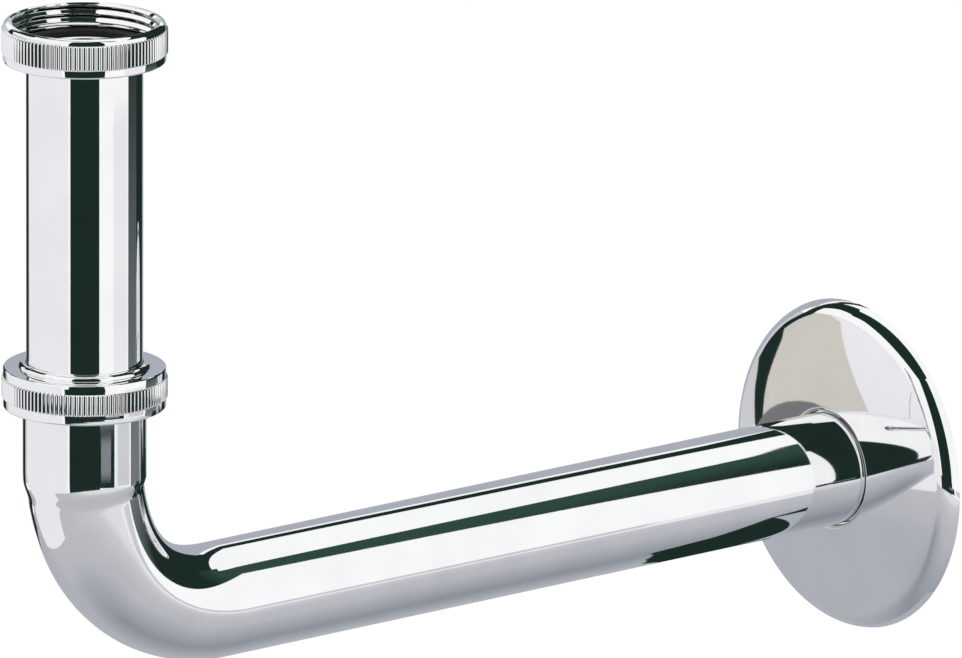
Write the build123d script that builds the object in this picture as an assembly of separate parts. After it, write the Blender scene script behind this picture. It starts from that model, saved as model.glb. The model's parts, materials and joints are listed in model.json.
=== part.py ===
from build123d import *
import math
import os

# Chromed connection bend for a basin waste: an adjusting tube drops into the socket of a bent tube,
# which runs to the wall through a rosette. Two knurled union nuts close the joints.
# Sizes are in millimetres and degrees. The origin is where the outlet's axis meets the wall,
# +Y goes into the wall and +Z is up.

# Tubes
tube_od = 32.0
tube_wall = 0.8
wall_reach = 276.0  # axis of the drop to the face of the wall
spigot_length = 22.0  # outlet tube that goes into the wall
bend_radius = 45.4  # centre line of the bend
bend_flattening = 1.4  # width lost on the inner side, half way round the bend
edge_break = 0.25  # small bevel on the ends of tubes and rings

# Socket at the top of the bent tube
socket_depth = 22.9  # straight length above the bend
socket_clearance = 0.15  # gap round the adjusting tube
socket_turn = 4.5  # how far the socket reaches round the bend
socket_taper_turn = 4.5  # stretch of the bend in which it narrows to the tube

# Threaded collar, soldered on the socket's mouth (pipe thread, G 1 1/4)
collar_wall = 3.1
collar_height = 5.2
collar_bevel = 0.5
solder_gap = 0.05

# Adjusting tube
adjusting_tube_length = 117.1
tube_end_gap = 0.5  # its lower end above the start of the bend
flange_bend = 0.8  # inner radius of the rolled flange
flange_play = 1.1  # flange and gasket inside the nut's bore
gasket_thickness = 1.6
gasket_overhang = 0.5  # gasket over the rounded inner edge of the flange

# Seal of the socket
seal_height = 2.6
seal_play = 1.0  # seal and slip ring inside the nut's bore
slip_ring_thickness = 1.0
running_gap = 0.15  # between a tube and what turns or slides on it
seat_gap = 0.05  # between faces that are screwed together

# Union nuts
thread_clearance = 0.2
thread_relief = 0.55  # groove at the closed end of the thread
nut_wall = 2.0
nut_round = 0.5  # outer edges
thread_bevel = 0.3  # entry of the thread
upper_nut_height = 11.0
upper_nut_shelf = 1.8
upper_nut_mouth_round = 1.5
upper_knurl_from_bottom = 2.25
upper_knurl_from_top = 1.75
lower_nut_skirt = 9.1  # depth inside, below the shelf
lower_nut_shelf = 2.2
lower_knurl_from_bottom = 2.7
lower_knurl_from_top = 2.6
lip_height = 1.4  # rounded lip round the tube
lip_width = 1.85

# Straight knurl
knurl_pitch = 1.276
knurl_depth = 0.45
knurl_crest = 0.3  # share of the pitch that stays flat
knurl_bevel = 0.35
knurl_root_sink = 0.05  # keeps a plain strip between the teeth

# Wall rosette, pressed from sheet
rosette_od = 94.0
rosette_wall = 0.8
rosette_clearance = 0.3
rosette_shoulder_radius = 6.5
rosette_rim_slope = 80.0  # of the shoulder, where it meets the wall
rosette_outer_slope = 15.0  # of the face, beside the shoulder
rosette_inner_slope = 3.0  # of the face, beside the hole
rosette_roll_radius = 1.2  # edge of the hole, turned towards the wall
rosette_hole_lip = 1.5

# Sizes that follow
tube_radius = tube_od / 2
bore_radius = tube_radius - tube_wall
socket_bore_radius = tube_radius + socket_clearance
socket_radius = socket_bore_radius + tube_wall
collar_radius = socket_radius + solder_gap + collar_wall
thread_bore_radius = collar_radius + thread_clearance
relief_radius = thread_bore_radius + thread_relief
nut_radius = thread_bore_radius + nut_wall
knurl_radius = nut_radius + knurl_depth
flange_radius = thread_bore_radius - flange_play
seal_radius = thread_bore_radius - seal_play
running_radius = tube_radius + running_gap

# Heights above the outlet's axis
mouth_height = bend_radius + socket_depth
seal_bottom = mouth_height + seat_gap
slip_ring_bottom = seal_bottom + seal_height + seat_gap
lower_shelf_bottom = slip_ring_bottom + slip_ring_thickness + seat_gap
lower_nut_bottom = lower_shelf_bottom - lower_nut_skirt
lower_nut_height = lower_nut_skirt + lower_nut_shelf
tube_bottom = bend_radius + tube_end_gap
flange_top = tube_bottom + adjusting_tube_length
upper_shelf_top = flange_top - tube_wall - running_gap
upper_nut_bottom = upper_shelf_top - upper_nut_shelf
gasket_top = flange_top + gasket_thickness
upper_relief_top = gasket_top + seat_gap - upper_nut_bottom

drop = Pos(0, -wall_reach, 0)


def turned(*outline):
    # Ring or tube turned about the drop's axis, from edges drawn as radius and height.
    return revolve(Plane.XZ * make_face(outline), Axis.Z)


def path(*points):
    return Polyline(*points).edges()


# Bent tube
def across_bend(turn, radius, flattening=0.0):
    # The tube's outline square to the bend, counted from the top. What it loses in width
    # is lost on the inner side, so the middle of the outline moves outwards.
    angle = math.radians(turn)
    reach = bend_radius + flattening / 2
    middle = (0, bend_radius - reach * math.cos(angle), bend_radius - reach * math.sin(angle))
    square = Plane(origin=middle, x_dir=(1, 0, 0), z_dir=(0, math.sin(angle), -math.cos(angle)))
    return square * Ellipse(radius, radius - flattening / 2)


def bent_core(inset, overrun):
    # Everything inside the tube's outer wall, or inside its bore when inset by the wall.
    wide = socket_radius - inset
    narrow = tube_radius - inset
    taper_end = socket_turn + socket_taper_turn
    steps = [0, 0.5, 1]
    socket = Pos(0, 0, bend_radius) * extrude(Circle(wide), socket_depth + overrun)
    socket += loft([across_bend(socket_turn * step, wide) for step in steps])
    taper = []
    for step in steps:
        ease = step * step * (3 - 2 * step)
        taper.append(across_bend(socket_turn + socket_taper_turn * step, wide + (narrow - wide) * ease))
    rounds = []
    for share in [step / 8 for step in range(9)]:
        flattening = bend_flattening * math.sin(math.pi * share) ** 2
        rounds.append(across_bend(taper_end + (90 - taper_end) * share, narrow, flattening))
    run_length = wall_reach - bend_radius + spigot_length + overrun
    run = Plane(origin=(0, bend_radius, 0), x_dir=(1, 0, 0), z_dir=(0, 1, 0)) * Circle(narrow)
    return socket + loft(taper) + loft(rounds) + extrude(run, run_length)


def make_bend_tube():
    overrun = tube_od
    tube = bent_core(0, 0) - bent_core(tube_wall, overrun)
    ends = tube.edges().group_by(Axis.Y)[-1] + tube.edges().group_by(Axis.Z)[-1]
    return drop * chamfer(ends, min(edge_break, tube_wall / 3))


# Plain rings
def ring(inner, outer, low, high, bevel):
    # Flat ring with its outer edges broken.
    return drop * turned(*path(
        (inner, low), (outer - bevel, low), (outer, low + bevel), (outer, high - bevel),
        (outer - bevel, high), (inner, high), (inner, low)))


def make_threaded_collar():
    bore = socket_radius + solder_gap
    return ring(bore, collar_radius, mouth_height - collar_height, mouth_height, collar_bevel)


def make_flat_gasket():
    inner = tube_radius + flange_bend - gasket_overhang
    return ring(inner, flange_radius, flange_top, gasket_top, edge_break)


def make_sealing_ring():
    return ring(running_radius, seal_radius, seal_bottom, seal_bottom + seal_height, edge_break)


def make_slip_ring():
    top = slip_ring_bottom + slip_ring_thickness
    return ring(running_radius, seal_radius, slip_ring_bottom, top, edge_break)


# Adjusting tube, with its top end rolled out to a flange
def make_adjusting_tube():
    bevel = min(edge_break, tube_wall / 3)
    underside = flange_top - tube_wall
    roll = (tube_radius + flange_bend, underside - flange_bend)
    return drop * turned(
        *path((bore_radius, roll[1]), (bore_radius, tube_bottom + bevel),
              (bore_radius + bevel, tube_bottom), (tube_radius - bevel, tube_bottom),
              (tube_radius, tube_bottom + bevel), (tube_radius, roll[1])),
        CenterArc(roll, flange_bend, 180, -90),
        *path((roll[0], underside), (flange_radius, underside),
              (flange_radius, flange_top), (roll[0], flange_top)),
        CenterArc(roll, flange_bend + tube_wall, 90, 90))


# Union nuts
def knurled_band(low, high):
    crest_half = knurl_crest / 2
    root_radius = nut_radius - knurl_root_sink
    teeth = round(2 * math.pi * knurl_radius / knurl_pitch)
    star = []
    for tooth in range(teeth):
        for place, radius in ((-crest_half, knurl_radius), (crest_half, knurl_radius), (0.5, root_radius)):
            angle = 2 * math.pi * (tooth + place) / teeth
            star.append((radius * math.cos(angle), radius * math.sin(angle)))
    band = Pos(0, 0, low) * extrude(make_face(Polyline(*star, close=True)), high - low)
    core = thread_bore_radius + nut_wall / 2
    bevelled = turned(*path(
        (core, low), (knurl_radius - knurl_bevel, low), (knurl_radius, low + knurl_bevel),
        (knurl_radius, high - knurl_bevel), (knurl_radius - knurl_bevel, high), (core, high), (core, low)))
    return band & bevelled


def make_upper_union_nut():
    # Open end up: the shelf catches the flange of the adjusting tube from below.
    top = upper_nut_height
    rim = nut_radius - upper_nut_mouth_round
    bottom_round = CenterArc((nut_radius - nut_round, nut_round), nut_round, -90, 90)
    mouth_round = CenterArc((rim, top - upper_nut_mouth_round), upper_nut_mouth_round, 0, 90)
    body = turned(
        *path((running_radius, 0), (nut_radius - nut_round, 0)),
        bottom_round,
        *path((nut_radius, nut_round), (nut_radius, top - upper_nut_mouth_round)),
        mouth_round,
        *path((rim, top), (thread_bore_radius + thread_bevel, top), (thread_bore_radius, top - thread_bevel),
              (thread_bore_radius, upper_relief_top), (relief_radius, upper_relief_top),
              (relief_radius, upper_nut_shelf), (running_radius + flange_bend, upper_nut_shelf),
              (running_radius, upper_nut_shelf - flange_bend), (running_radius, 0)))
    nut = body + knurled_band(upper_knurl_from_bottom, top - upper_knurl_from_top)
    return drop * Pos(0, 0, upper_nut_bottom) * nut


def make_lower_union_nut():
    # Open end down, with a rounded lip where the tube comes out.
    top = lower_nut_height
    edge = nut_radius - nut_round
    lip_top = top + lip_height
    lip_radius = running_radius + lip_width
    bottom_round = CenterArc((edge, nut_round), nut_round, -90, 90)
    top_round = CenterArc((edge, top - nut_round), nut_round, 0, 90)
    lip_round = CenterArc((lip_radius - lip_height, top), lip_height, 0, 90)
    relief_bottom = lower_nut_skirt - (lower_shelf_bottom - mouth_height)
    body = turned(
        *path((thread_bore_radius + thread_bevel, 0), (edge, 0)),
        bottom_round,
        *path((nut_radius, nut_round), (nut_radius, top - nut_round)),
        top_round,
        *path((edge, top), (lip_radius, top)),
        lip_round,
        *path((lip_radius - lip_height, lip_top), (running_radius, lip_top),
              (running_radius, lower_nut_skirt), (relief_radius, lower_nut_skirt),
              (relief_radius, relief_bottom),
              (thread_bore_radius, relief_bottom), (thread_bore_radius, thread_bevel),
              (thread_bore_radius + thread_bevel, 0)))
    nut = body + knurled_band(lower_knurl_from_bottom, top - lower_knurl_from_top)
    return drop * Pos(0, 0, lower_nut_bottom) * nut


# Rosette
def make_wall_rosette():
    # A shallow domed dish: shoulder, face and rolled hole edge are three arcs that run into each other.
    # Radius is drawn across, depth from the wall upwards.
    rim = math.radians(rosette_rim_slope)
    outer = math.radians(rosette_outer_slope)
    inner = math.radians(rosette_inner_slope)
    hole = tube_radius + rosette_clearance
    shoulder = rosette_shoulder_radius
    roll = rosette_roll_radius
    shoulder_middle = (rosette_od / 2 - shoulder * math.sin(rim), -shoulder * math.cos(rim))
    roll_across = hole + roll
    roll_top = roll_across + roll * math.sin(inner)
    shoulder_top = shoulder_middle[0] + shoulder * math.sin(outer)
    face = (shoulder_top - roll_top) / (math.sin(outer) - math.sin(inner))
    face_middle = (roll_top - face * math.sin(inner),
                   shoulder_middle[1] + (shoulder - face) * math.cos(outer))
    roll_middle = (roll_across, face_middle[1] + (face - roll) * math.cos(inner))
    thin = rosette_wall
    inner_rim = math.degrees(math.acos(shoulder * math.cos(rim) / (shoulder - thin)))
    lip_end = roll_middle[1] - rosette_hole_lip

    arcs = []
    for inset, rim_slope in ((0, rosette_rim_slope), (thin, inner_rim)):
        arcs.append(CenterArc(shoulder_middle, shoulder - inset, 90 - rim_slope,
                              rim_slope - rosette_outer_slope))
        arcs.append(CenterArc(face_middle, face - inset, 90 - rosette_outer_slope,
                              rosette_outer_slope - rosette_inner_slope))
        arcs.append(CenterArc(roll_middle, roll - inset, 90 - rosette_inner_slope,
                              90 + rosette_inner_slope))
    lip = path(arcs[2] @ 1, (hole, lip_end), (hole + thin, lip_end), arcs[5] @ 1)
    rim_edge = path(arcs[0] @ 0, arcs[3] @ 0)
    towards_room = Plane(origin=(0, 0, 0), x_dir=(1, 0, 0), z_dir=(0, 0, -1))
    return revolve(towards_room * make_face([*arcs, *lip, *rim_edge]), Axis.Y)


pieces = {
    "upper_union_nut": make_upper_union_nut(),
    "flat_gasket": make_flat_gasket(),
    "adjusting_tube": make_adjusting_tube(),
    "lower_union_nut": make_lower_union_nut(),
    "slip_ring": make_slip_ring(),
    "sealing_ring": make_sealing_ring(),
    "bend_tube": make_bend_tube(),
    "threaded_collar": make_threaded_collar(),
    "wall_rosette": make_wall_rosette(),
}

os.makedirs("parts", exist_ok=True)
for name, piece in pieces.items():
    export_step(piece, f"parts/{name}.step")
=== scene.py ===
import json
import math

import bmesh
import bpy
from mathutils import Matrix, Vector


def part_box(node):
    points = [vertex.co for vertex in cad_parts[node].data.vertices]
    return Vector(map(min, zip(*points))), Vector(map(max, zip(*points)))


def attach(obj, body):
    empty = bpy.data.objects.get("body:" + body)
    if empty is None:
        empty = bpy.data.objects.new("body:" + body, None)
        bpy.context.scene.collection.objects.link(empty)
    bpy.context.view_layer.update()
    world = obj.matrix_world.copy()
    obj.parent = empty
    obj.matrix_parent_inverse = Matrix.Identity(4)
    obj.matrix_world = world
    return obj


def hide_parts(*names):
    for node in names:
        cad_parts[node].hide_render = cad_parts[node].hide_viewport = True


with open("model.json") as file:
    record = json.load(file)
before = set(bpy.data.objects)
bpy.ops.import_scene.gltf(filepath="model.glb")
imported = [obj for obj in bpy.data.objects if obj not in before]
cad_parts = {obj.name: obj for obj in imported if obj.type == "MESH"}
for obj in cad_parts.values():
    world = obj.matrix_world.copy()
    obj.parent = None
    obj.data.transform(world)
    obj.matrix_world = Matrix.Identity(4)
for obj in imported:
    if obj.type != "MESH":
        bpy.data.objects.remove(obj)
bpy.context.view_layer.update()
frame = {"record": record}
mm = 0.001
fullTurn = 2 * math.pi
rightAngle = 90
sharpAngle = math.radians(40)

# The drop stands where the adjusting tube does, the outlet runs along Y at height 0
tubeLow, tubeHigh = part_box("adjusting_tube")
dropY = (tubeLow.y + tubeHigh.y) / 2 / mm

# How near points have to be to count as one place, in mm
near = dict(spun=0.002, joined=0.0005, cut=0.0001, level=0.001, ring=0.01)


# Drawing, turning and placing

def heightsOf(node):
    low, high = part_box(node)
    return low.z / mm, high.z / mm


def drawOutline(bm, corners, closed=True, segments=6):
    # Corners are (radius, height, rounding) in mm, drawn in the XZ plane
    verts = [bm.verts.new((r * mm, 0, z * mm)) for r, z, rounding in corners]
    for one, two in zip(verts, verts[1:]):
        bm.edges.new((one, two))
    if closed:
        bm.edges.new((verts[-1], verts[0]))
    for vert, (r, z, rounding) in zip(verts, corners):
        if rounding:
            bmesh.ops.bevel(bm, geom=[vert], offset=rounding * mm, offset_type="OFFSET", segments=segments,
                            profile=0.5, affect="VERTICES", material=-1)


def turnOutline(bm, steps, climb=0.0):
    # Spins one part of the turn, then doubles it until the turn is full; a climb in mm makes it a screw
    doublings = 4
    parts = 2 ** doublings
    bmesh.ops.spin(bm, geom=bm.verts[:] + bm.edges[:], cent=(0, 0, 0), axis=(0, 0, 1),
                   dvec=(0, 0, climb * mm / steps), angle=fullTurn / parts, steps=steps // parts)
    for doubling in range(doublings):
        share = 2 ** doubling / parts
        copied = bmesh.ops.duplicate(bm, geom=bm.verts[:] + bm.edges[:] + bm.faces[:])["geom"]
        verts = [v for v in copied if isinstance(v, bmesh.types.BMVert)]
        bmesh.ops.rotate(bm, verts=verts, cent=(0, 0, 0), matrix=Matrix.Rotation(fullTurn * share, 3, "Z"))
        bmesh.ops.translate(bm, verts=verts, vec=(0, 0, climb * mm * share))
    bmesh.ops.remove_doubles(bm, verts=bm.verts[:], dist=near["spun"] * mm)


def closeUp(bm):
    bmesh.ops.remove_doubles(bm, verts=bm.verts[:], dist=near["joined"] * mm)
    bmesh.ops.recalc_face_normals(bm, faces=bm.faces[:])


def linkMesh(name, bm, material):
    mesh = bpy.data.meshes.new(name)
    bm.to_mesh(mesh)
    bm.free()
    mesh.materials.append(material)
    linked = bpy.data.objects.new(name, mesh)
    bpy.context.scene.collection.objects.link(linked)
    return linked


def makePiece(name, bm, node, material, sharpHeights=()):
    piece = linkMesh(name, bm, material)
    mesh = piece.data
    mesh.shade_smooth()
    mesh.set_sharp_from_angle(angle=sharpAngle)
    for height in sharpHeights:
        onRing = [abs(v.co.z - height * mm) < near["level"] * mm for v in mesh.vertices]
        for edge in mesh.edges:
            if onRing[edge.vertices[0]] and onRing[edge.vertices[1]]:
                edge.use_edge_sharp = True
    weighted = piece.modifiers.new("evenNormals", "WEIGHTED_NORMAL")
    weighted.keep_sharp = True
    body = next(b for b, members in frame["record"]["behaviour"]["bodies"].items() if node in members)
    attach(piece, body)
    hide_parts(node)
    print("piece:", name, len(mesh.polygons), "faces on", body)


def makeOnDrop(name, bm, node, material, sharpHeights=()):
    closeUp(bm)
    bmesh.ops.translate(bm, verts=bm.verts[:], vec=(0, dropY * mm, 0))
    makePiece(name, bm, node, material, sharpHeights)


# Materials

def newMaterial(name, baseColor, metallic, roughness):
    material = bpy.data.materials.new(name)
    material.use_nodes = True
    shader = material.node_tree.nodes["Principled BSDF"]
    shader.inputs["Base Color"].default_value = (*baseColor, 1)
    shader.inputs["Metallic"].default_value = metallic
    shader.inputs["Roughness"].default_value = roughness
    return material, material.node_tree, shader


def objectCoords(tree):
    return tree.nodes.new("ShaderNodeTexCoord").outputs["Object"]


def addNoise(tree, scale, detail):
    noise = tree.nodes.new("ShaderNodeTexNoise")
    noise.inputs["Scale"].default_value = scale
    noise.inputs["Detail"].default_value = detail
    tree.links.new(objectCoords(tree), noise.inputs["Vector"])
    return noise.outputs["Fac"]


def addSpread(tree, source, socket, low, high):
    spread = tree.nodes.new("ShaderNodeMapRange")
    spread.inputs["To Min"].default_value = low
    spread.inputs["To Max"].default_value = high
    tree.links.new(source, spread.inputs["Value"])
    tree.links.new(spread.outputs["Result"], socket)


def addBump(tree, shader, height, distance):
    bump = tree.nodes.new("ShaderNodeBump")
    bump.inputs["Distance"].default_value = distance
    tree.links.new(height, bump.inputs["Height"])
    tree.links.new(bump.outputs["Normal"], shader.inputs["Normal"])


tintEnds = (0.35, 0.65)  # where in the noise the dull colour stops and the bright one starts
latheMarks = dict(distortion=1.5, detail=2)


def addTint(tree, source, socket, dull, bright):
    ramp = tree.nodes.new("ShaderNodeValToRGB")
    for element, end, color in zip(ramp.color_ramp.elements, tintEnds, (dull, bright)):
        element.position = end
        element.color = (*color, 1)
    tree.links.new(source, ramp.inputs["Fac"])
    tree.links.new(ramp.outputs["Color"], socket)


def addTurningLines(tree, linesPerMm):
    # Fine rings left by the lathe, level round the drop
    lines = tree.nodes.new("ShaderNodeTexWave")
    lines.bands_direction = "Z"
    lines.inputs["Scale"].default_value = linesPerMm / mm / fullTurn
    lines.inputs["Distortion"].default_value = latheMarks["distortion"]
    lines.inputs["Detail"].default_value = latheMarks["detail"]
    tree.links.new(objectCoords(tree), lines.inputs["Vector"])
    return lines.outputs["Fac"]


chromeLook = dict(metallic=1.0, dull=(0.90, 0.905, 0.915), bright=(0.945, 0.95, 0.955),
                  roughness=0.03, roughnessEnds=(0.02, 0.05), scale=60, detail=4)
brassLook = dict(metallic=1.0, dull=(0.43, 0.29, 0.10), bright=(0.66, 0.48, 0.20),
                 roughness=0.3, roughnessEnds=(0.22, 0.42), scale=180, detail=5)
rubberLook = dict(metallic=0.0, dull=(0.006, 0.007, 0.007), bright=(0.016, 0.017, 0.017),
                  roughness=0.75, roughnessEnds=(0.5, 0.75), scale=900, detail=3)
plasticLook = dict(metallic=0.0, dull=(0.66, 0.66, 0.62), bright=(0.74, 0.74, 0.71),
                   roughness=0.5, roughnessEnds=(0.35, 0.5), scale=500, detail=3)
tubeWave = dict(scale=70, detail=1, height=0.004 * mm)
rosetteWave = dict(scale=40, detail=1, height=0.008 * mm)
nutLines = dict(perMm=5, height=0.0006 * mm)
collarLines = dict(perMm=4, height=0.004 * mm)
rubberGrain = 0.03 * mm
plasticGrain = 0.01 * mm


def mottledFinish(name, look):
    # Colour and roughness vary together
    material, tree, shader = newMaterial(name, look["bright"], look["metallic"], look["roughness"])
    mottle = addNoise(tree, look["scale"], look["detail"])
    addTint(tree, mottle, shader.inputs["Base Color"], look["dull"], look["bright"])
    addSpread(tree, mottle, shader.inputs["Roughness"], *look["roughnessEnds"])
    return material, tree, shader, mottle


def drawnChrome(name, wave):
    # Polished sheet or tube: the mirror is not quite even
    material, tree, shader = mottledFinish(name, chromeLook)[:3]
    addBump(tree, shader, addNoise(tree, wave["scale"], wave["detail"]), wave["height"])
    return material


def turnedMetal(name, look, lines):
    material, tree, shader = mottledFinish(name, look)[:3]
    addBump(tree, shader, addTurningLines(tree, lines["perMm"]), lines["height"])
    return material


def mouldedFinish(name, look, grain):
    material, tree, shader, mottle = mottledFinish(name, look)
    addBump(tree, shader, mottle, grain)
    return material


tubeChrome = drawnChrome("tubeChrome", tubeWave)
rosetteChrome = drawnChrome("rosetteChrome", rosetteWave)
nutChrome = turnedMetal("nutChrome", chromeLook, nutLines)
collarBrass = turnedMetal("collarBrass", brassLook, collarLines)
blackRubber = mouldedFinish("blackRubber", rubberLook, rubberGrain)
slipPlastic = mouldedFinish("slipPlastic", plasticLook, plasticGrain)
print("materials made")


# Adjusting tube, its top end rolled out to a flange
adjusting = dict(radius=16.0, wall=0.8, rollInside=0.8, edge=0.25, flangeEdge=0.2, steps=160)


def makeAdjustingTube(s):
    bottom, top = heightsOf("adjusting_tube")
    flange = (tubeHigh.x - tubeLow.x) / 2 / mm
    bore = s["radius"] - s["wall"]
    bm = bmesh.new()
    drawOutline(bm, [
        (bore, bottom, s["edge"]),
        (s["radius"], bottom, s["edge"]),
        (s["radius"], top - s["wall"], s["rollInside"]),
        (flange, top - s["wall"], s["flangeEdge"]),
        (flange, top, s["flangeEdge"]),
        (bore, top, s["rollInside"] + s["wall"]),
    ])
    turnOutline(bm, s["steps"])
    makeOnDrop("adjustingTube", bm, "adjusting_tube", tubeChrome)


makeAdjustingTube(adjusting)


# Threads: a zigzag of crests and roots, spun once round while it climbs one pitch
thread = dict(pitch=2.309, turnsBelow=2, turnsAbove=1, cornerRound=0.3, roundSegments=3)


def addThread(bm, inner, outer, low, high, steps):
    pitch = thread["pitch"]
    first = math.floor(low / pitch) - thread["turnsBelow"]
    last = math.ceil(high / pitch) + thread["turnsAbove"]
    corners = []
    for turn in range(first, last + 1):
        corners.append((outer, turn * pitch, thread["cornerRound"]))
        corners.append((inner, (turn + 0.5) * pitch, thread["cornerRound"]))
    drawn = bmesh.new()
    drawOutline(drawn, corners, closed=False, segments=thread["roundSegments"])
    turnOutline(drawn, steps, pitch)
    for height, keepAbove in ((low, True), (high, False)):
        bmesh.ops.bisect_plane(drawn, geom=drawn.verts[:] + drawn.edges[:] + drawn.faces[:],
                               dist=near["cut"] * mm, plane_co=(0, 0, height * mm), plane_no=(0, 0, 1),
                               clear_inner=keepAbove, clear_outer=not keepAbove)
    trimmed = bpy.data.meshes.new("thread")
    drawn.to_mesh(trimmed)
    drawn.free()
    bm.from_mesh(trimmed)
    bpy.data.meshes.remove(trimmed)
    for height in (low, high):
        # The ring-shaped gap between the thread's end and the turned body
        gap = [e for e in bm.edges if e.is_boundary
               and all(abs(v.co.z - height * mm) < near["ring"] * mm for v in e.verts)]
        bmesh.ops.triangle_fill(bm, use_beauty=True, edges=gap)


# Union nuts
knurl = dict(teeth=112, depth=0.45, endBevel=0.35, stepsPerTooth=8)
nutThread = dict(crest=19.65, root=20.7, wallGap=0.03, steps=320)
upperNut = dict(radius=22.3, bore=16.15, shelf=1.8, shelfBevel=0.8, reliefRadius=20.85, threadFrom=4.4,
                threadBevel=0.3, mouthRound=1.5, edge=0.5, knurlFrom=2.25, knurlTo=9.25)
lowerNut = dict(radius=22.3, bore=16.15, skirt=9.1, reliefRadius=20.85, threadTo=5.35, threadBevel=0.3,
                shelfTop=11.3, edge=0.5, lipRadius=18.0, lipRound=1.35, lipFoot=0.15, lipEdge=0.12,
                knurlFrom=2.7, knurlTo=8.7)


def knurlCorners(radius, bottom, top):
    bevel = knurl["endBevel"]
    return [(radius, z, 0) for z in (top, top - bevel, bottom + bevel, bottom)]


def cutKnurl(bm, radius, bottom, top):
    # Rounded teeth are drawn out from two rings of the plain band, with a sharp groove between each two
    low, high = bottom + knurl["endBevel"], top - knurl["endBevel"]
    perTooth = knurl["stepsPerTooth"]
    steps = knurl["teeth"] * perTooth
    band = [v for v in bm.verts if abs(math.hypot(v.co.x, v.co.y) - radius * mm) < near["ring"] * mm
            and min(abs(v.co.z - low * mm), abs(v.co.z - high * mm)) < near["ring"] * mm]
    for place in range(1, perTooth):
        verts = [v for v in band if round(math.atan2(v.co.y, v.co.x) / fullTurn * steps) % perTooth == place]
        grow = 1 + knurl["depth"] * math.sin(math.pi * place / perTooth) / radius
        bmesh.ops.scale(bm, verts=verts, vec=(grow, grow, 1))


def finishNut(name, bm, node, radius, knurlEnds, threadEnds):
    turnOutline(bm, knurl["teeth"] * knurl["stepsPerTooth"])
    cutKnurl(bm, radius, *knurlEnds)
    addThread(bm, nutThread["crest"], nutThread["root"], *threadEnds, nutThread["steps"])
    makeOnDrop(name, bm, node, nutChrome, knurlEnds)


def makeUpperNut(s):
    z, top = heightsOf("upper_union_nut")
    root = nutThread["root"] + nutThread["wallGap"]
    low, high = z + s["threadFrom"], top - s["threadBevel"]
    knurlEnds = z + s["knurlFrom"], z + s["knurlTo"]
    bm = bmesh.new()
    drawOutline(bm, [
        (root, high, 0),
        (s["radius"] - s["mouthRound"], top, 0),
        (s["radius"], top, s["mouthRound"]),
        *knurlCorners(s["radius"], *knurlEnds),
        (s["radius"], z, s["edge"]),
        (s["bore"], z, s["threadBevel"]),
        (s["bore"], z + s["shelf"] - s["shelfBevel"], 0),
        (s["bore"] + s["shelfBevel"], z + s["shelf"], 0),
        (s["reliefRadius"], z + s["shelf"], 0),
        (s["reliefRadius"], low, 0),
        (root, low, 0),
    ], closed=False)
    finishNut("upperUnionNut", bm, "upper_union_nut", s["radius"], knurlEnds, (low, high))


def makeLowerNut(s):
    z, lipTop = heightsOf("lower_union_nut")
    root = nutThread["root"] + nutThread["wallGap"]
    low, high = z + s["threadBevel"], z + s["threadTo"]
    top = z + s["shelfTop"]
    knurlEnds = z + s["knurlFrom"], z + s["knurlTo"]
    bm = bmesh.new()
    drawOutline(bm, [
        (root, low, 0),
        (root + s["threadBevel"], z, 0),
        (s["radius"], z, s["edge"]),
        *reversed(knurlCorners(s["radius"], *knurlEnds)),
        (s["radius"], top, s["edge"]),
        (s["lipRadius"], top, s["lipFoot"]),
        (s["lipRadius"], lipTop, s["lipRound"]),
        (s["bore"], lipTop, s["lipEdge"]),
        (s["bore"], z + s["skirt"], s["lipEdge"]),
        (s["reliefRadius"], z + s["skirt"], 0),
        (s["reliefRadius"], high, 0),
        (root, high, 0),
    ], closed=False)
    finishNut("lowerUnionNut", bm, "lower_union_nut", s["radius"], knurlEnds, (low, high))


makeUpperNut(upperNut)
makeLowerNut(lowerNut)


# Threaded collar on the socket's mouth
collar = dict(bore=17.0, root=19.5, crest=20.55, bevel=0.5, wallGap=0.03, edge=0.15, steps=224)


def makeCollar(s):
    bottom, top = heightsOf("threaded_collar")
    root = s["root"] - s["wallGap"]
    low, high = bottom + s["bevel"], top - s["bevel"]
    bm = bmesh.new()
    drawOutline(bm, [
        (root, high, 0),
        (root - s["bevel"], top, 0),
        (s["bore"], top, s["edge"]),
        (s["bore"], bottom, s["edge"]),
        (root - s["bevel"], bottom, 0),
        (root, low, 0),
    ], closed=False)
    turnOutline(bm, s["steps"])
    addThread(bm, s["root"], s["crest"], low, high, s["steps"])
    makeOnDrop("threadedCollar", bm, "threaded_collar", collarBrass)


makeCollar(collar)


# Gasket, seal and slip ring
rings = dict(
    flatGasket=dict(node="flat_gasket", bore=16.3, edge=0.3, material=blackRubber),
    sealingRing=dict(node="sealing_ring", bore=16.15, edge=0.4, material=blackRubber),
    slipRing=dict(node="slip_ring", bore=16.15, edge=0.2, material=slipPlastic),
)
ringMesh = dict(steps=128, edgeSegments=4)


def makeRing(name, s):
    bottom, top = heightsOf(s["node"])
    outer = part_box(s["node"])[1].x / mm
    bm = bmesh.new()
    drawOutline(bm, [
        (s["bore"], bottom, s["edge"]),
        (outer, bottom, s["edge"]),
        (outer, top, s["edge"]),
        (s["bore"], top, s["edge"]),
    ], segments=ringMesh["edgeSegments"])
    turnOutline(bm, ringMesh["steps"])
    makeOnDrop(name, bm, s["node"], s["material"])


for ringName, ring in rings.items():
    makeRing(ringName, ring)


# Bent tube: one ring of points, drawn on from station to station
bend = dict(radius=16.0, wall=0.8, centreRadius=45.4, flattening=1.4, socketRadius=16.95, socketTurn=3.0,
            taperTurn=6.0, points=160, turnStep=1.5, taperSteps=8, runStep=12.0)


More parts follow.
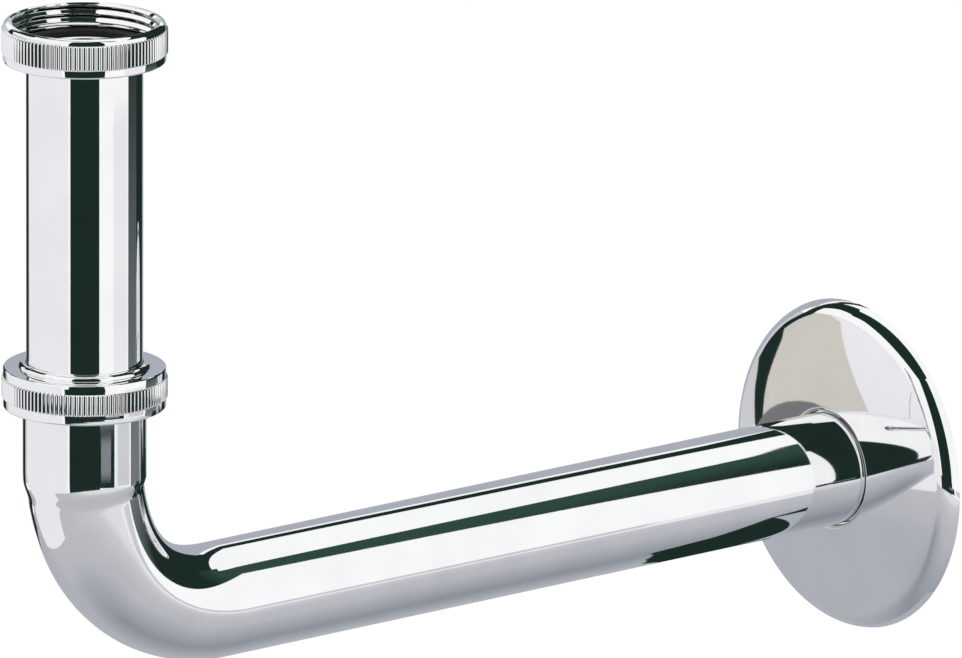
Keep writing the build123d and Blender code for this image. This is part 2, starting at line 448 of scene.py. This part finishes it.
def stationAt(s, turn, radius, flattening=0.0):
    # Square to the bend, which turns from straight down to the outlet; width is lost on the inner side
    angle = math.radians(turn)
    reach = s["centreRadius"] + flattening / 2
    centre = Vector((0, dropY + s["centreRadius"], s["centreRadius"]))
    middle = centre + reach * Vector((0, -math.cos(angle), -math.sin(angle)))
    turned = Matrix.Rotation(math.pi + angle, 4, "X")
    size = Matrix.Diagonal((radius, radius - flattening / 2, 1, 1))
    return Matrix.Translation(middle * mm) @ turned @ size


def stationsOf(s):
    mouth = heightsOf("bend_tube")[1]
    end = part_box("bend_tube")[1].y / mm
    toMouth = Matrix.Translation((0, 0, (mouth - s["centreRadius"]) * mm))
    stations = [toMouth @ stationAt(s, 0, s["socketRadius"])]
    for turn in (0, s["socketTurn"] / 2):
        stations.append(stationAt(s, turn, s["socketRadius"]))
    for step in range(s["taperSteps"] + 1):
        share = step / s["taperSteps"]
        ease = share * share * (3 - 2 * share)
        narrowing = (s["socketRadius"] - s["radius"]) * ease
        stations.append(stationAt(s, s["socketTurn"] + s["taperTurn"] * share, s["socketRadius"] - narrowing))
    start = s["socketTurn"] + s["taperTurn"]
    turns = round((rightAngle - start) / s["turnStep"])
    for step in range(1, turns + 1):
        share = step / turns
        flattening = s["flattening"] * math.sin(math.pi * share) ** 2
        stations.append(stationAt(s, start + (rightAngle - start) * share, s["radius"], flattening))
    straight = end - dropY - s["centreRadius"]
    runs = round(straight / s["runStep"])
    for step in range(1, runs + 1):
        along = Matrix.Translation((0, straight * step / runs * mm, 0))
        stations.append(along @ stationAt(s, rightAngle, s["radius"]))
    return stations


def makeBendTube(s):
    stations = stationsOf(s)
    bm = bmesh.new()
    bmesh.ops.create_circle(bm, segments=s["points"], radius=mm, matrix=stations[0])
    edges = bm.edges[:]
    for here, there in zip(stations, stations[1:]):
        drawn = bmesh.ops.extrude_edge_only(bm, edges=edges)["geom"]
        verts = [v for v in drawn if isinstance(v, bmesh.types.BMVert)]
        edges = [e for e in drawn if isinstance(e, bmesh.types.BMEdge)]
        bmesh.ops.transform(bm, matrix=there @ here.inverted(), verts=verts)
    closeUp(bm)
    bmesh.ops.solidify(bm, geom=bm.faces[:], thickness=s["wall"] * mm)
    makePiece("bendTube", bm, "bend_tube", tubeChrome)


makeBendTube(bend)


# Wall rosette, pressed from sheet: shoulder, face and the hole's rolled edge are arcs that run together
rosette = dict(wall=0.8, hole=16.3, shoulder=6.5, rimSlope=80.0, outerSlope=15.0, innerSlope=3.0, roll=1.2,
               lip=1.5, steps=192, shoulderSteps=26, faceSteps=12, rollSteps=10)


def arcOn(bm, vert, centre, slope, steps):
    # Carries the outline on round a centre given as radius and height in mm
    turned = bmesh.ops.spin(bm, geom=[vert], cent=(centre[0] * mm, 0, centre[1] * mm), axis=(0, -1, 0),
                            angle=math.radians(slope), steps=steps)
    return turned["geom_last"][0]


def makeRosette(s):
    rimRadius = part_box("wall_rosette")[1].x / mm
    rim, outer, inner = (math.radians(s[key]) for key in ("rimSlope", "outerSlope", "innerSlope"))
    shoulderMid = (rimRadius - s["shoulder"] * math.sin(rim), -s["shoulder"] * math.cos(rim))
    rollAcross = s["hole"] + s["roll"]
    rollTop = rollAcross + s["roll"] * math.sin(inner)
    shoulderTop = shoulderMid[0] + s["shoulder"] * math.sin(outer)
    face = (shoulderTop - rollTop) / (math.sin(outer) - math.sin(inner))
    faceMid = (rollTop - face * math.sin(inner), shoulderMid[1] + (s["shoulder"] - face) * math.cos(outer))
    rollMid = (rollAcross, faceMid[1] + (face - s["roll"]) * math.cos(inner))
    bm = bmesh.new()
    vert = bm.verts.new((rimRadius * mm, 0, 0))
    vert = arcOn(bm, vert, shoulderMid, s["rimSlope"] - s["outerSlope"], s["shoulderSteps"])
    vert = arcOn(bm, vert, faceMid, s["outerSlope"] - s["innerSlope"], s["faceSteps"])
    vert = arcOn(bm, vert, rollMid, rightAngle + s["innerSlope"], s["rollSteps"])
    lipEnd = bm.verts.new((vert.co.x, 0, vert.co.z - s["lip"] * mm))
    bm.edges.new((vert, lipEnd))
    turnOutline(bm, s["steps"])
    closeUp(bm)
    bmesh.ops.solidify(bm, geom=bm.faces[:], thickness=s["wall"] * mm)
    toWall = Matrix.Rotation(math.radians(rightAngle), 3, "X")
    bmesh.ops.rotate(bm, verts=bm.verts[:], cent=(0, 0, 0), matrix=toWall)
    makePiece("wallRosette", bm, "wall_rosette", rosetteChrome)


makeRosette(rosette)


# Camera at the photograph's view
cameraView = dict(azimuth=50.42, elevation=14.82, roll=0.28, distance=6000.0, target=(0, -135.6, 61.4),
                  pixelsPerMm=3.6065, imageWidth=962, sensor=36.0)


def makeCamera(s):
    azimuth, elevation = math.radians(s["azimuth"]), math.radians(s["elevation"])
    back = Vector((math.sin(azimuth) * math.cos(elevation), -math.cos(azimuth) * math.cos(elevation),
                   math.sin(elevation)))
    right = Vector((math.cos(azimuth), math.sin(azimuth), 0))
    axes = Matrix((right, back.cross(right), back)).transposed().to_4x4()
    camera = bpy.data.objects.new("camera", bpy.data.cameras.new("camera"))
    camera.data.sensor_width = s["sensor"]
    camera.data.lens = s["pixelsPerMm"] * s["distance"] * s["sensor"] / s["imageWidth"]
    place = Matrix.Translation((Vector(s["target"]) + back * s["distance"]) * mm)
    camera.matrix_world = place @ axes @ Matrix.Rotation(math.radians(s["roll"]), 4, "Z")
    bpy.context.scene.collection.objects.link(camera)
    bpy.context.scene.camera = camera


makeCamera(cameraView)
print("camera set")


# Studio: a white room for the camera and the chrome, dimmer for matt surfaces
room = dict(level=1.0, mattLevel=0.7)


def makeWorld(s):
    world = bpy.data.worlds.new("whiteRoom")
    bpy.context.scene.world = world
    world.use_nodes = True
    tree = world.node_tree
    rays = tree.nodes.new("ShaderNodeLightPath")
    seen = rays.outputs["Is Camera Ray"]
    for kind in ("Is Glossy Ray", "Is Transmission Ray"):
        either = tree.nodes.new("ShaderNodeMath")
        either.operation = "MAXIMUM"
        tree.links.new(seen, either.inputs[0])
        tree.links.new(rays.outputs[kind], either.inputs[1])
        seen = either.outputs["Value"]
    background = tree.nodes["Background"]
    background.inputs["Color"].default_value = (1, 1, 1, 1)
    addSpread(tree, seen, background.inputs["Strength"], s["mattLevel"], s["level"])


makeWorld(room)


# Cards that only the chrome sees. Azimuths are counted from the camera to its right, sizes are in mm,
# and a tone is one colour, or several at rising heights
black = (0.012, 0.026, 0.021)
cardTones = dict(
    black=[(0, black)],
    white=[(0, (1, 1, 1))],
    offWhite=[(0, (0.87, 0.86, 0.885))],
    hazyWhite=[(0, (0.84, 0.825, 0.825))],
    beige=[(0, (0.63, 0.61, 0.55))],
    pale=[(0, (0.62, 0.62, 0.65))],
    grey=[(0, (0.42, 0.44, 0.50))],
    smokyGrey=[(0, (0.22, 0.245, 0.26))],
    darkGrey=[(0, (0.19, 0.19, 0.20))],
    backShade=[(-330, (0.30, 0.32, 0.35)), (-150, (0.16, 0.18, 0.19)), (-20, black), (350, black),
               (600, (0.030, 0.068, 0.052))],
)
atDrop, atBend, atWall = (0, dropY), (0, -250), (0, 0)
roundCards = dict(
    frontFlag=dict(around=atDrop, distance=1500, azimuths=(-27, 30), heights=(-1200, -170), tone="black"),
    frontFlagTop=dict(around=atDrop, distance=1500, azimuths=(-21, 29), heights=(-170, 2600), tone="black"),
    lowFlag=dict(around=atDrop, distance=600, azimuths=(29, 58), heights=(-132, -94), tone="black"),
    lowPane=dict(around=atDrop, distance=590, azimuths=(31.5, 50.5), heights=(-110, -97.5), tone="smokyGrey"),
    lowPale=dict(around=atDrop, distance=610, azimuths=(65, 92), heights=(-124, -94), tone="pale"),
    backFlag=dict(around=atBend, distance=760, azimuths=(95, 123), heights=(-330, 900), tone="backShade"),
    backFlagLow=dict(around=atBend, distance=760, azimuths=(123, 186), heights=(-330, 590), tone="black"),
    backTop=dict(around=atBend, distance=770, azimuths=(123, 190), heights=(590, 1400), tone="white"),
    backdrop=dict(around=atBend, distance=740, azimuths=(160, 190), heights=(-200, 430), tone="white"),
    backdropFoot=dict(around=atBend, distance=720, azimuths=(158, 200), heights=(-200, 355), tone="grey"),
    leftWall=dict(around=atWall, distance=3000, azimuths=(-122, -85), heights=(-700, 900), tone="beige"),
    leftHaze=dict(around=atWall, distance=3000, azimuths=(-85, -55), heights=(-420, 900), tone="hazyWhite"),
    leftSoft=dict(around=atDrop, distance=3200, azimuths=(-90, -31), heights=(-1500, 300), tone="offWhite"),
    rightSoft=dict(around=atDrop, distance=3200, azimuths=(60, 94), heights=(-1500, -660), tone="offWhite"),
    leftBack=dict(around=atWall, distance=3050, azimuths=(-185, -122), heights=(-900, 900), tone="pale"),
    leftArch=dict(around=atWall, distance=357, azimuths=(-125, 5), heights=(385, 590), tone="black"),
)
roundCardSteps = 32
farCards = dict(
    leftSlit=dict(distance=2900, tone="black", spots=(
        (-121, -14), (-117.3, -14), (-117, -9.5), (-116.4, -7.3), (-115.6, -5.6), (-114.8, -3.8),
        (-114, -1.8), (-113.7, 0.5), (-114.2, 4), (-114, 14), (-117, 18), (-128, 18), (-127, 12),
        (-129, 7), (-127, 2), (-125, -2.5), (-121.5, -5), (-122, -9.5))),
    leftShoulder=dict(distance=2900, tone="black", spots=(
        (-117, 17.5), (-126, 28), (-120, 37), (-100, 43), (-100, 50), (-165, 48), (-160, 37), (-140, 27),
        (-128, 17.5))),
    leftHump=dict(distance=2800, tone="darkGrey", spots=(
        (-122, -15), (-95, -15), (-96.5, -12), (-98.5, -10.9), (-101, -10.2), (-104, -9.9), (-107.5, -9.9),
        (-111, -10.3), (-114, -10.9), (-117, -11.8), (-121, -13.5))),
)
flatCards = dict(
    leftPanel=dict(tone="offWhite", corners=((-14, -442, -105), (-14, -442, 150), (-338, -259, 150),
                                             (-187, -344, -105))),
    leftGap=dict(tone="black", corners=((-102, -286, -15), (-102, -286, 135), (-88, -255, 135),
                                        (-88, -255, -15))),
    topPanel=dict(tone="white", corners=((-330, -30, 600), (161, -30, 600), (161, 440, 600),
                                         (-330, 440, 600))),
    topShade=dict(tone="black", corners=((-260, -190, 300), (178, -190, 300), (178, -15, 300),
                                         (-260, -15, 300))),
    # Painted shade: a black card lying on the table behind the rosette
    shadeBehindRosette=dict(tone="black", corners=((-382, 236, -148), (-92, 48, -148), (-36, 29, -148), (16, 25, -148),
                                         (36, 50, -148), (94, 87, -148), (108, 104, -148), (200, 180, -148),
                                         (200, 420, -148), (-382, 420, -148))),
    rimShade=dict(tone="grey", corners=((-40, -1, -50), (38, -1, -50), (38, 60, -50), (-40, 60, -50))),
)
table = dict(middle=(93, -226, -150), radius=545, segments=128)
# Painted shadow: the table card's colours, dark below the outlet and the bend, paler further out
tableTone = dict(darkestX=15.0, leftReach=115.0, frontReach=230.0, stops=[
    (0.0, (0.28, 0.30, 0.345)), (60.0, (0.375, 0.39, 0.43)), (150.0, (0.495, 0.505, 0.54)),
    (250.0, (0.525, 0.535, 0.57)), (400.0, (0.61, 0.62, 0.65)), (470.0, (0.76, 0.77, 0.79))])


def glowMaterial(name):
    material = bpy.data.materials.new(name)
    material.use_nodes = True
    tree = material.node_tree
    tree.nodes.remove(tree.nodes["Principled BSDF"])
    glow = tree.nodes.new("ShaderNodeEmission")
    tree.links.new(glow.outputs["Emission"], tree.nodes["Material Output"].inputs["Surface"])
    return material, tree, glow.inputs["Color"]


def splitCoords(tree):
    split = tree.nodes.new("ShaderNodeSeparateXYZ")
    tree.links.new(objectCoords(tree), split.inputs["Vector"])
    return split.outputs


def addMath(tree, operation, value, amount):
    mathNode = tree.nodes.new("ShaderNodeMath")
    mathNode.operation = operation
    mathNode.inputs[1].default_value = amount
    tree.links.new(value, mathNode.inputs[0])
    return mathNode.outputs["Value"]


def addScale(tree, value, stops, socket):
    # Stops are (place in mm, colour), at rising places
    metres = [(place * mm, color) for place, color in stops]
    low, high = metres[0][0], metres[-1][0]
    spread = tree.nodes.new("ShaderNodeMapRange")
    spread.inputs["From Min"].default_value = low
    spread.inputs["From Max"].default_value = high
    tree.links.new(value, spread.inputs["Value"])
    ramp = tree.nodes.new("ShaderNodeValToRGB")
    elements = ramp.color_ramp.elements
    while len(elements) < len(stops):
        elements.new(1.0)
    for element, (place, color) in zip(elements, metres):
        element.position = (place - low) / (high - low)
        element.color = (*color, 1)
    tree.links.new(spread.outputs["Result"], ramp.inputs["Fac"])
    tree.links.new(ramp.outputs["Color"], socket)


def heightTone(name, stops):
    material, tree, socket = glowMaterial(name + "Card")
    if len(stops) == 1:
        socket.default_value = (*stops[0][1], 1)
    else:
        addScale(tree, splitCoords(tree)["Z"], stops, socket)
    return material


def tableShade(s):
    # Painted shadow of the part on the table: darkest below the outlet and the bend, and paler with the
    # distance from there, to a limit on the left and in front
    material, tree, socket = glowMaterial("tableCard")
    split = splitCoords(tree)
    aside = addMath(tree, "SUBTRACT", split["X"], s["darkestX"] * mm)
    aside = addMath(tree, "MAXIMUM", aside, -s["leftReach"] * mm)
    front = addMath(tree, "SUBTRACT", split["Y"], dropY * mm)
    front = addMath(tree, "MAXIMUM", front, -s["frontReach"] * mm)
    front = addMath(tree, "MINIMUM", front, 0.0)
    away = tree.nodes.new("ShaderNodeCombineXYZ")
    tree.links.new(aside, away.inputs["X"])
    tree.links.new(front, away.inputs["Y"])
    distance = tree.nodes.new("ShaderNodeVectorMath")
    distance.operation = "LENGTH"
    tree.links.new(away.outputs["Vector"], distance.inputs[0])
    addScale(tree, distance.outputs["Value"], s["stops"], socket)
    return material


cardMaterials = {name: heightTone(name, stops) for name, stops in cardTones.items()}
cardMaterials["table"] = tableShade(tableTone)


def stageCard(name, bm, tone):
    card = linkMesh(name, bm, cardMaterials[tone])
    card.visible_camera = False
    card.visible_diffuse = False
    card.visible_transmission = False
    card.visible_shadow = False


def headingOf(azimuth):
    return math.radians(azimuth + cameraView["azimuth"] - rightAngle)


def makeRoundCard(name, s):
    first, last = (headingOf(azimuth) for azimuth in s["azimuths"])
    x, y = s["around"]
    startX, startY = x + s["distance"] * math.cos(first), y + s["distance"] * math.sin(first)
    bm = bmesh.new()
    edge = bm.edges.new([bm.verts.new(Vector((startX, startY, height)) * mm) for height in s["heights"]])
    bmesh.ops.spin(bm, geom=[*edge.verts, edge], cent=(x * mm, y * mm, 0), axis=(0, 0, 1),
                   angle=last - first, steps=roundCardSteps)
    stageCard(name, bm, s["tone"])


def makeTable(s):
    bm = bmesh.new()
    bmesh.ops.create_circle(bm, cap_ends=True, segments=s["segments"], radius=s["radius"] * mm,
                            matrix=Matrix.Translation(Vector(s["middle"]) * mm))
    stageCard("table", bm, "table")


def makeFarCard(name, s):
    # Seen from the rosette at these azimuths and elevations
    bm = bmesh.new()
    verts = []
    for azimuth, elevation in s["spots"]:
        heading = headingOf(azimuth)
        spot = Vector((math.cos(heading), math.sin(heading), math.tan(math.radians(elevation))))
        verts.append(bm.verts.new(spot * s["distance"] * mm))
    bm.faces.new(verts)
    stageCard(name, bm, s["tone"])


def makeFlatCard(name, s):
    bm = bmesh.new()
    bm.faces.new([bm.verts.new(Vector(corner) * mm) for corner in s["corners"]])
    stageCard(name, bm, s["tone"])


for cardName, card in roundCards.items():
    makeRoundCard(cardName, card)
makeTable(table)
for cardName, card in farCards.items():
    makeFarCard(cardName, card)
for cardName, card in flatCards.items():
    makeFlatCard(cardName, card)
print("cards staged:", len(roundCards) + len(farCards) + len(flatCards), "and the table")


# Pale floor well below the part, fading into the white room, and two soft lamps
floorLook = dict(height=-300.0, middle=(0.0, -140.0), radius=950.0, segments=96, fadeFrom=450.0,
                 color=(0.84, 0.84, 0.85), roughness=0.9)
lamps = dict(
    mainLamp=dict(place=(900, -1500, 1500), size=1200, power=24),
    fillLamp=dict(place=(-1400, -700, 900), size=1000, power=9),
)


def fadingFloor(s, middle):
    material, tree, shader = newMaterial("paleFloor", s["color"], 0.0, s["roughness"])
    glow = tree.nodes.new("ShaderNodeEmission")
    mix = tree.nodes.new("ShaderNodeMixShader")
    distance = tree.nodes.new("ShaderNodeVectorMath")
    distance.operation = "DISTANCE"
    distance.inputs[1].default_value = middle
    fade = tree.nodes.new("ShaderNodeMapRange")
    fade.interpolation_type = "SMOOTHSTEP"
    fade.inputs["From Min"].default_value = s["fadeFrom"] * mm
    fade.inputs["From Max"].default_value = s["radius"] * mm
    tree.links.new(objectCoords(tree), distance.inputs[0])
    tree.links.new(distance.outputs["Value"], fade.inputs["Value"])
    tree.links.new(fade.outputs["Result"], mix.inputs["Fac"])
    tree.links.new(shader.outputs["BSDF"], mix.inputs[1])
    tree.links.new(glow.outputs["Emission"], mix.inputs[2])
    tree.links.new(mix.outputs["Shader"], tree.nodes["Material Output"].inputs["Surface"])
    return material


def makeFloor(s):
    middle = Vector((*s["middle"], s["height"])) * mm
    bm = bmesh.new()
    bmesh.ops.create_circle(bm, cap_ends=True, segments=s["segments"], radius=s["radius"] * mm,
                            matrix=Matrix.Translation(middle))
    floor = linkMesh("floor", bm, fadingFloor(s, middle))


def makeLamp(name, s):
    lamp = bpy.data.objects.new(name, bpy.data.lights.new(name, "AREA"))
    lamp.data.size = s["size"] * mm
    lamp.data.energy = s["power"]
    place = Vector(s["place"]) * mm
    aim = Vector(cameraView["target"]) * mm - place
    lamp.matrix_world = Matrix.Translation(place) @ aim.to_track_quat("-Z", "Y").to_matrix().to_4x4()
    lamp.visible_glossy = False
    bpy.context.scene.collection.objects.link(lamp)


makeFloor(floorLook)
for lampName, lamp in lamps.items():
    makeLamp(lampName, lamp)
print("floor and lamps set")

bpy.context.scene.view_settings.view_transform = "Standard"
